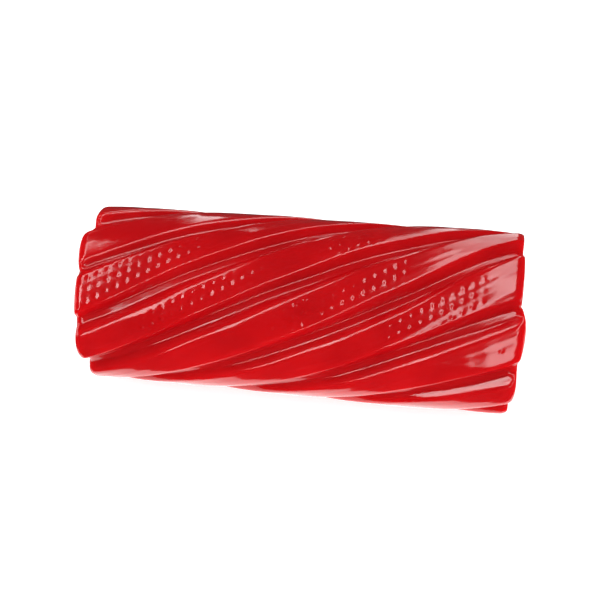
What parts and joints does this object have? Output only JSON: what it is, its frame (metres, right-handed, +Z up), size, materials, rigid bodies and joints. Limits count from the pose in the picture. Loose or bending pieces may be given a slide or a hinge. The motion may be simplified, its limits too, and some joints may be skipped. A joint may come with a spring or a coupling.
{
  "type": "soft licorice twist",
  "caption": "Short cut of soft red licorice: a solid round bar of twisted ribs with square-cut ends, lying on its sagged underside.",
  "frame": {"origin": "under the middle of the bounding box, on the surface that the bar lies on", "axes": "+X along the bar, -Y out of its front, +Z up"},
  "size_m": [0.0448, 0.0192, 0.0187],
  "materials": {
    "licorice": "glossy, slightly translucent deep red, with a fine diamond print pressed into the ribs"
  },
  "bodies": {
    "root": {"licorice_twist": "licorice"}
  },
  "joints": []
}
